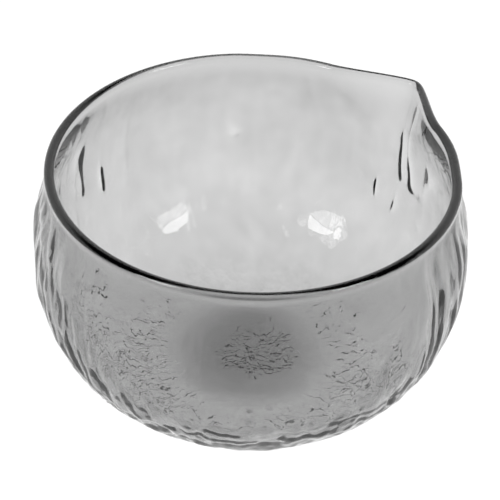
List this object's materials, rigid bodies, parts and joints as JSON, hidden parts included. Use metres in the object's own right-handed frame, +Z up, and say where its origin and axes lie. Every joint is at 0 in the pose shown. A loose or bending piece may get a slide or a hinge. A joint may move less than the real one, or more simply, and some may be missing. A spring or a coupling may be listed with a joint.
{
  "type": "mixing bowl",
  "caption": "Small blown-glass mixing bowl with a rippled outside, a round fire-polished rim and one pulled pouring lip.",
  "frame": {"origin": "centre of the flat foot, on the bowl's axis", "axes": "+Z up, from the foot to the rim; +X from the axis towards the pouring lip"},
  "size_m": [0.1568, 0.149, 0.087],
  "materials": {
    "smoked_glass": "glossy"
  },
  "bodies": {
    "root": {"glass_bowl": "smoked_glass"}
  },
  "joints": []
}
